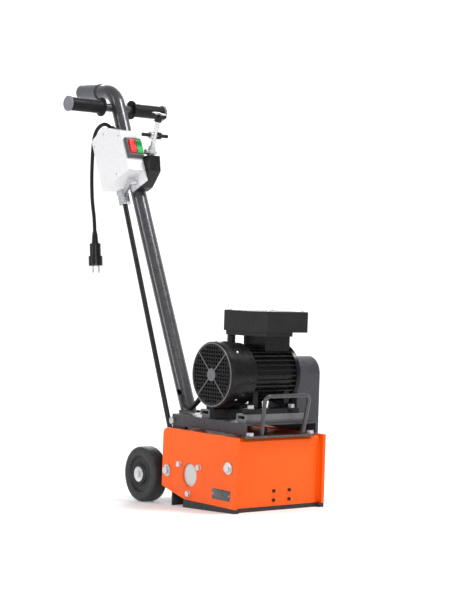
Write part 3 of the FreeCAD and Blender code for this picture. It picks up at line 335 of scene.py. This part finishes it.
def dress_frame():
    """Gives every CAD node the material of its slot."""
    for entry in frame["record"]["subparts"]:
        node = frame["nodes"][entry["node"]]
        node.data.materials.clear()
        node.data.materials.append(MATERIALS[entry["material_slot"]])
    # The dust skirt's black brush is a real strip and also painted shade: it darkens the band under the side
    # plates where shadow falls.
    finer = {
        "dust_skirt": "bristle_and_shade", "carry_handle": "handle_paint", "grip_caps": "cap_plastic",
        "switch_frame": "frame_plastic", "terminal_base": "box_plastic", "terminal_cover": "box_plastic"}
    for name, material in finer.items():
        frame["nodes"][name].data.materials[0] = MATERIALS[material]
    # Painted shade: the hinge lugs on the deck are painted black for the shadowed gap under the motor plate's
    # flange.
    repaint("deck_plate", "black_paint", lug_in_painted_shade)
    repaint("lift_screw", "black_paint", on_tommy_bar)


# ---- mesh helpers ----

def piece(name, mesh, material, body="frame", stands_for=(), smooth=35):
    """Turns a finished bmesh into a piece that rides on a body."""
    data = bpy.data.meshes.new(name)
    bmesh.ops.recalc_face_normals(mesh, faces=mesh.faces)
    mesh.to_mesh(data)
    mesh.free()
    obj = bpy.data.objects.new(name, data)
    bpy.context.scene.collection.objects.link(obj)
    data.materials.append(MATERIALS[material])
    data.shade_smooth()
    data.set_sharp_from_angle(angle=math.radians(smooth))
    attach(obj, body)
    if stands_for:
        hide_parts(*stands_for)
    return obj


def across_axis(middle, axis):
    """A matrix in metres whose z lies along an axis, at a middle."""
    turn = Vector((0, 0, 1)).rotation_difference(Vector(axis)).to_matrix().to_4x4()
    return Matrix.Translation(middle) @ turn


def turned_rings(mesh, outline, place, steps):
    """A ring of vertices about the z of a place for each (height, radius) of an outline."""
    rings = []
    for height, radius in outline:
        ring = []
        for step in range(steps):
            angle = 2 * math.pi * step / steps
            point = Vector((radius * math.cos(angle), radius * math.sin(angle), height))
            ring.append(mesh.verts.new(place @ point))
        rings.append(ring)
    return rings


def skin(mesh, rings, following):
    """Joins each ring to the one that follows it with a band of faces."""
    for lower, upper in zip(rings, following):
        for step in range(len(lower)):
            after = (step + 1) % len(lower)
            mesh.faces.new((lower[step], lower[after], upper[after], upper[step]))


def cap(mesh, rings):
    """Closes the first and last rings."""
    mesh.faces.new(list(reversed(rings[0])))
    mesh.faces.new(rings[-1])


def lathe(mesh, outline, place, steps):
    """Spins an open outline about the z of a place and closes its two ends."""
    rings = turned_rings(mesh, outline, place, steps)
    skin(mesh, rings, rings[1:])
    cap(mesh, rings)


def spin(mesh, outline, place, steps):
    """Spins a closed outline about the z of a place, which makes a ring."""
    rings = turned_rings(mesh, outline, place, steps)
    skin(mesh, rings, rings[1:] + rings[:1])


def slab(mesh, low, high, place, soft):
    """A box between two corners of a place, with softened edges."""
    low, high = Vector(low), Vector(high)
    made = bmesh.ops.create_cube(mesh, size=1)["verts"]
    for vert in made:
        vert.co = Vector(low[i] + (vert.co[i] + 0.5) * (high[i] - low[i]) for i in range(3))
    edges = list({edge for vert in made for edge in vert.link_edges})
    bevelled = bmesh.ops.bevel(
        mesh, geom=edges, offset=soft, segments=3, affect="EDGES", profile=0.5)
    bmesh.ops.transform(mesh, matrix=place, verts=connected(bevelled["verts"]))


def connected(verts):
    """Every vertex joined to the given ones."""
    seen = set(verts)
    todo = list(verts)
    while todo:
        vert = todo.pop()
        for edge in vert.link_edges:
            other = edge.other_vert(vert)
            if other not in seen:
                seen.add(other)
                todo.append(other)
    return list(seen)


def wire(name, points, radius, material):
    """A smooth round curve led by points in metres, fixed to the frame."""
    curve = bpy.data.curves.new(name, "CURVE")
    curve.dimensions = "3D"
    curve.bevel_depth = radius
    curve.bevel_resolution = 5
    curve.use_fill_caps = True
    line = curve.splines.new("NURBS")
    line.points.add(len(points) - 1)
    for spot, point in zip(line.points, points):
        spot.co = (*point, 1)
    line.order_u = 3
    line.use_endpoint_u = True
    line.resolution_u = 12
    obj = bpy.data.objects.new(name, curve)
    bpy.context.scene.collection.objects.link(obj)
    curve.materials.append(MATERIALS[material])
    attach(obj, "frame")
    return obj


TO_RIGHT = -90
TO_LEFT = 90


def sideways(spot, degrees):
    """A place on the level machine, in millimetres, whose z is turned to one side."""
    return MACHINE @ Matrix.Translation(spot) @ Matrix.Rotation(math.radians(degrees), 4, "Y")


def screw_heads(name, places, outline, steps, material="bare_steel"):
    """One piece of round heads, one at each place, from an outline of (height, radius)."""
    mesh = bmesh.new()
    for place in places:
        lathe(mesh, outline, place, steps)
    piece(name, mesh, material, smooth=50)


# ---- cord ----

CORD_ROUTE = [
    (-40, 518, 972), (-41, 532, 982), (-42, 549.5, 986), (-43.5, 567, 982), (-45, 581.5, 971.5),
    (-46, 591.5, 954), (-46, 597, 929), (-46, 600, 896), (-46, 603, 850), (-45, 603.5, 802),
    (-45, 599, 766), (-45, 591, 734), (-45, 589, 698)]
CORD_RADIUS = 0.005
PLUG_HEADING = Vector((0, -0.05547, -0.99846))
RIB_COUNT = 5
RIB_START = 0.010
RIB_PITCH = 0.0055


def supply_cord():
    """The short mains lead that hangs behind the switch box, down to its plug."""
    cord = wire("cord", [on_floor(point) for point in CORD_ROUTE], CORD_RADIUS, "rubber")
    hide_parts("supply_cord")


def plug_ribs():
    """Raised grip ribs round the plug's body, below the end of its cord."""
    low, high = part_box("plug")
    top = on_floor(CORD_ROUTE[-1])
    top.x = (low.x + high.x) / 2
    mesh = bmesh.new()
    for index in range(RIB_COUNT):
        start = top + PLUG_HEADING * (RIB_START + RIB_PITCH * index)
        radius = 0.0083 + 0.0003 * index
        ring = [
            (-0.0009, radius - 0.001), (-0.0007, radius + 0.0004), (0, radius + 0.0008),
            (0.0007, radius + 0.0004), (0.0009, radius - 0.001)]
        spin(mesh, ring, across_axis(start, PLUG_HEADING), 40)
    piece("plug_ribs", mesh, "rubber")


# ---- wheels ----

WHEEL_BORE = 0.0085


def wheel(name):
    """A solid rubber wheel: rounded shoulders, a dished side and a hub boss, round a bore."""
    low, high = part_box(name)
    middle = (low + high) / 2
    radius = (high.z - low.z) / 2
    half = (high.x - low.x) / 2
    face = [
        (half, 0.0125), (half, 0.021), (half - 0.001, 0.0235), (half - 0.006, 0.026),
        (half - 0.0085, 0.031), (half - 0.0085, 0.038), (half - 0.0065, 0.0425),
        (half - 0.001, 0.0455), (half, 0.048), (half, radius - 0.0085),
        (half - 0.0008, radius - 0.0045), (half - 0.003, radius - 0.0015),
        (half - 0.0065, radius - 0.0001)]
    mirrored = [(-height, reach) for height, reach in reversed(face)]
    bore = [(-half, WHEEL_BORE), (half, WHEEL_BORE)]
    mesh = bmesh.new()
    spin(mesh, face + mirrored + bore, across_axis(middle, (1, 0, 0)), 96)
    piece(name + "_rubber", mesh, "tread", body=name, stands_for=[name], smooth=28)


# ---- motor details, in millimetres on the level machine ----

MOTOR_AXIS = (-21.5, 315)
COWL_MIDDLE = (-125.5, *MOTOR_AXIS)
COWL_SKIRT = (-94, *MOTOR_AXIS)
COWL_REACH = 79.6
RIM_RADIUS = 74.6
RIM_WIRE = 1.3
RIM_SIDES = 8
TERMINAL_TOP = 468
GUARD_FACE = 178


def diagonal_turns():
    """The four turns about the motor's axis that lie between level and upright."""
    return [Matrix.Rotation(math.radians(45 + 90 * quarter), 4, "X") for quarter in range(4)]


def cowl_rim():
    """The rolled rim of the fan cowl and its hub disc."""
    mesh = bmesh.new()
    place = sideways(COWL_MIDDLE, TO_RIGHT)
    ring = []
    for step in range(RIM_SIDES):
        angle = 2 * math.pi * step / RIM_SIDES
        ring.append((-0.4 + RIM_WIRE * math.sin(angle), RIM_RADIUS + RIM_WIRE * math.cos(angle)))
    spin(mesh, ring, place, 96)
    lathe(mesh, [(0, 15), (0.9, 15), (1.3, 14.2), (1.5, 11), (1.5, 3), (1.1, 0.5)], place, 48)
    piece("cowl_rim", mesh, "rail_paint")


def grille_spokes():
    """The four flat spokes of the fan cowl's grille."""
    mesh = bmesh.new()
    for turn in diagonal_turns():
        spoke = MACHINE @ Matrix.Translation(COWL_MIDDLE) @ turn
        slab(mesh, (-1.0, -1.1, 15), (0.2, 1.1, 73.5), spoke, 0.3)
    piece("grille_spokes", mesh, "rail_paint")


def terminal_screws():
    """The four round-headed screws of the terminal cover."""
    corners = ((-2, -76), (105, -76), (105, 38), (-29, 38))
    places = [MACHINE @ Matrix.Translation((x, y, TERMINAL_TOP)) for x, y in corners]
    screw_heads("terminal_screws", places, [(-0.5, 4.4), (1.2, 4.4), (2.2, 3.4), (2.5, 0.8)], 24)


def cowl_screws():
    """Small screws round the cowl's skirt, where it seats on the end shield."""
    outward = Matrix.Translation((0, 0, COWL_REACH))
    skirt = MACHINE @ Matrix.Translation(COWL_SKIRT)
    places = [skirt @ turn @ outward for turn in diagonal_turns()]
    screw_heads("cowl_screws", places, [(-0.4, 3.4), (0.8, 3.4), (1.6, 2.6), (1.9, 0.6)], 24)


def guard_screws():
    """Pan-head screws that hold the belt guard's outer face."""
    spots = ((-21.5, 345), (-52, 300), (-52, 60), (75, 70), (20, 30), (30, 205))
    places = [sideways((GUARD_FACE, y, z), TO_LEFT) for y, z in spots]
    head = [(-0.5, 5.2), (-0.1, 5.5), (0.9, 5.3), (2.0, 3.9), (2.3, 0.8)]
    screw_heads("guard_screws", places, head, 28, "zinc")


# ---- frame, mast and case details ----

LABEL_FACE = -137.5
LABEL_PROUD = 0.7
SIDE_WELD = 129.3
WELD_FRONT = -126.2
RIPPLE_LENGTH = 0.0012
RIPPLE_SWELL = 0.14
SLEEVE_HEADING = Vector((0, 0.9946, 0.1037))
CASE_RIGHT = -74


def label_plate():
    """A blank dark plate on the right side plate."""
    mesh = bmesh.new()
    slab(mesh, (LABEL_FACE - LABEL_PROUD, -122, 26), (LABEL_FACE + 0.2, -54, 51), MACHINE, 0.35)
    piece("label_plate", mesh, "label")


def label_rivets():
    """The two small rivets that hold the blank plate."""
    places = [sideways((LABEL_FACE - LABEL_PROUD, y, 38.5), TO_RIGHT) for y in (-118, -58)]
    screw_heads("label_rivets", places, [(-0.2, 1.6), (0.3, 1.6), (0.8, 1.1), (0.95, 0.3)], 20, "zinc")


def weld_bead(name, points, material, radius=0.0017, steps=10):
    """A rippled weld bead along a line of points in metres."""
    mesh = bmesh.new()
    rings = []
    for start, end in zip(points, points[1:]):
        line = end - start
        count = max(3, round(line.length / RIPPLE_LENGTH))
        turn = Vector((0, 0, 1)).rotation_difference(line).to_matrix()
        for index in range(count):
            middle = start + line * (index / count)
            swell = radius * (1 + RIPPLE_SWELL * math.sin(index * 2.1))
            ring = []
            for step in range(steps):
                angle = 2 * math.pi * step / steps
                offset = turn @ Vector((math.cos(angle) * swell, math.sin(angle) * swell, 0))
                ring.append(mesh.verts.new(middle + offset))
            rings.append(ring)
    skin(mesh, rings, rings[1:])
    cap(mesh, rings)
    piece(name, mesh, material, smooth=60)


def frame_welds():
    """The beads between the front plate and the two side plates."""
    for name, x in (("weld_right", -SIDE_WELD), ("weld_left", SIDE_WELD)):
        points = [level((x, WELD_FRONT, z)) for z in (14, 90, 158)]
        weld_bead(name, points, "orange_paint")


def mast_clamp_ring():
    """The dark clamp ring at the front of the mast's sleeve."""
    low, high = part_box("mast_sleeve")
    middle = (low + high) / 2
    start = middle - SLEEVE_HEADING * ((high.y - low.y) / 2 - 0.0035)
    mesh = bmesh.new()
    ring = [(0, 0.0222), (0.0004, 0.0229), (0.002, 0.0231), (0.0036, 0.0229), (0.004, 0.0222)]
    spin(mesh, ring, across_axis(start, SLEEVE_HEADING), 64)
    piece("mast_clamp_ring", mesh, "black_plastic")


def case_screws():
    """Four small screws on the switch case's right side."""
    spots = ((600, 22), (690, 66), (726, 4), (714, -46))
    places = [
        across_axis(on_mast(CASE_RIGHT, along, ahead), (-1, 0, 0)) for along, ahead in spots]
    head = [(-0.0003, 0.0030), (0.0004, 0.0030), (0.0009, 0.0022), (0.001, 0.0005)]
    screw_heads("case_screws", places, head, 24)


# ---- camera, light and floor ----

CAMERA_PLACE = (-2432.5, -3051.4, 401.5)
CAMERA_AIM = (0.6156, 0.7877, 0.0253)
FLOOR_TURN = math.radians(-38)
FLOOR_HALF_WIDTH = 16
FLOOR_FRONT = -14
CURVE_START = 4.0
CURVE_RADIUS = 2.5
CURVE_STEPS = 12
WALL_TOP = 14


def camera():
    """A long lens at the front right, a little below the middle of the machine's height."""
    data = bpy.data.cameras.new("camera")
    data.lens = 96
    data.sensor_width = 36
    data.sensor_fit = "AUTO"
    data.clip_end = 50
    obj = bpy.data.objects.new("camera", data)
    turn = Vector(CAMERA_AIM).normalized().to_track_quat("-Z", "Y")
    obj.matrix_world = Matrix.Translation(on_floor(CAMERA_PLACE)) @ turn.to_matrix().to_4x4()
    bpy.context.scene.collection.objects.link(obj)
    bpy.context.scene.camera = obj


def lamp(name, place, aim, size, power):
    """A soft rectangular studio light."""
    data = bpy.data.lights.new(name, "AREA")
    data.shape = "RECTANGLE"
    data.size, data.size_y = size
    data.energy = power
    obj = bpy.data.objects.new(name, data)
    away = Vector(aim) - Vector(place)
    obj.matrix_world = Matrix.Translation(place) @ away.to_track_quat("-Z", "Y").to_matrix().to_4x4()
    bpy.context.scene.collection.objects.link(obj)


def floor_finish():
    """A pale floor that glows a little more with distance, so that it fades to white."""
    ground = Finish("floor", (0.9, 0.9, 0.9), 0.8)
    ground.tint(ground.mixed(ground.noise(3, 2), (0.88, 0.88, 0.88), (0.91, 0.91, 0.91)))
    ground.shader.inputs["Emission Color"].default_value = (1, 1, 1, 1)
    far = ground.nodes.new("ShaderNodeSeparateXYZ")
    ground.links.new(ground.place, far.inputs["Vector"])
    glow = ground.spread(far.outputs["Y"], 0.1, 0.56, 0.9, 4.5)
    ground.links.new(glow, ground.shader.inputs["Emission Strength"])
    return ground.material


def floor():
    """A seamless floor that curves up behind the machine."""
    data = bpy.data.meshes.new("floor")
    mesh = bmesh.new()
    sweep = [(FLOOR_FRONT, 0), (CURVE_START, 0)]
    for step in range(1, CURVE_STEPS + 1):
        angle = math.radians(90 * step / CURVE_STEPS)
        rise = CURVE_RADIUS - CURVE_RADIUS * math.cos(angle)
        sweep.append((CURVE_START + CURVE_RADIUS * math.sin(angle), rise))
    sweep.append((CURVE_START + CURVE_RADIUS, WALL_TOP))
    sides = (-FLOOR_HALF_WIDTH, FLOOR_HALF_WIDTH)
    rows = [[mesh.verts.new((x, y, z)) for x in sides] for y, z in sweep]
    for lower, upper in zip(rows, rows[1:]):
        mesh.faces.new((lower[0], lower[1], upper[1], upper[0]))
    mesh.to_mesh(data)
    mesh.free()
    data.shade_smooth()
    sheet = bpy.data.objects.new("floor", data)
    sheet.matrix_world = Matrix.Rotation(FLOOR_TURN, 4, "Z")
    bpy.context.scene.collection.objects.link(sheet)
    data.materials.append(floor_finish())


def studio_light():
    """An even white surround and four soft lights."""
    world = bpy.data.worlds.new("studio")
    world.use_nodes = True
    world.node_tree.nodes["Background"].inputs["Color"].default_value = (1, 1, 1, 1)
    world.node_tree.nodes["Background"].inputs["Strength"].default_value = 0.4
    bpy.context.scene.world = world
    lamp("key", (0.9, -1.6, 3.0), (0, 0, 0.2), (0.8, 0.8), 62)
    lamp("streak", (-2.6, 0.7, 1.5), (0, 0.1, 0.7), (0.35, 2.4), 26)
    lamp("front", (-1.6, -2.6, 1.3), (0, 0, 0.3), (1.3, 1.3), 30)
    lamp("back", (1.6, 2.4, 2.0), (0, 0, 0.5), (1.2, 1.2), 30)
    bpy.context.scene.view_settings.view_transform = "Standard"
    bpy.context.scene.view_settings.look = "None"


dress_frame()
supply_cord()
wheel("wheel_right")
wheel("wheel_left")
cowl_rim()
grille_spokes()
terminal_screws()
label_plate()
label_rivets()
frame_welds()
mast_clamp_ring()
plug_ribs()
guard_screws()
cowl_screws()
case_screws()
camera()
floor()
studio_light()
